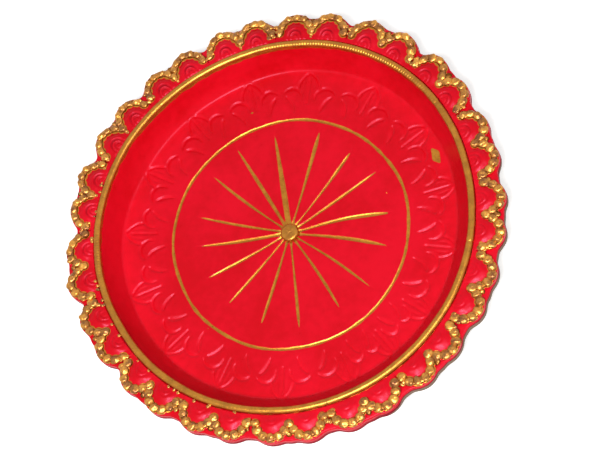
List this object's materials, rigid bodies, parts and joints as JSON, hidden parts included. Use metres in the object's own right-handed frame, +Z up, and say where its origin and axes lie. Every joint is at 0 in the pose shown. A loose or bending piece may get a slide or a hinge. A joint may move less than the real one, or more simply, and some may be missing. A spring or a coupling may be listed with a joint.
{
  "type": "puja thali",
  "caption": "Round shallow puja thali of red painted clay, with a gilded coil and beaded petals on its rim and a gilded sun pressed into its floor.",
  "frame": {"origin": "centre of the flat underside, on the surface that the thali stands on", "axes": "+Z up, out of the dish; +X through the middle of the first petal pair"},
  "size_m": [0.253, 0.254, 0.0251],
  "materials": {
    "red_painted_clay": "satin red enamel paint over clay",
    "gilded_clay": "metallic gold paint over clay"
  },
  "bodies": {
    "root": {"plate_body": "red_painted_clay", "sun_boss": "gilded_clay", "rim_coil": "gilded_clay", "petal_pair_01": "red_painted_clay", "petal_pair_02": "red_painted_clay", "petal_pair_03": "red_painted_clay", "petal_pair_04": "red_painted_clay", "petal_pair_05": "red_painted_clay", "petal_pair_06": "red_painted_clay", "petal_pair_07": "red_painted_clay", "petal_pair_08": "red_painted_clay", "petal_pair_09": "red_painted_clay", "petal_pair_10": "red_painted_clay", "petal_pair_11": "red_painted_clay", "petal_pair_12": "red_painted_clay", "petal_pair_13": "red_painted_clay", "petal_pair_14": "red_painted_clay", "petal_pair_15": "red_painted_clay", "petal_pair_16": "red_painted_clay", "petal_pair_17": "red_painted_clay", "bead_string_01": "gilded_clay", "bead_string_02": "gilded_clay", "bead_string_03": "gilded_clay", "bead_string_04": "gilded_clay", "bead_string_05": "gilded_clay", "bead_string_06": "gilded_clay", "bead_string_07": "gilded_clay", "bead_string_08": "gilded_clay", "bead_string_09": "gilded_clay", "bead_string_10": "gilded_clay", "bead_string_11": "gilded_clay", "bead_string_12": "gilded_clay", "bead_string_13": "gilded_clay", "bead_string_14": "gilded_clay", "bead_string_15": "gilded_clay", "bead_string_16": "gilded_clay", "bead_string_17": "gilded_clay"}
  },
  "joints": []
}
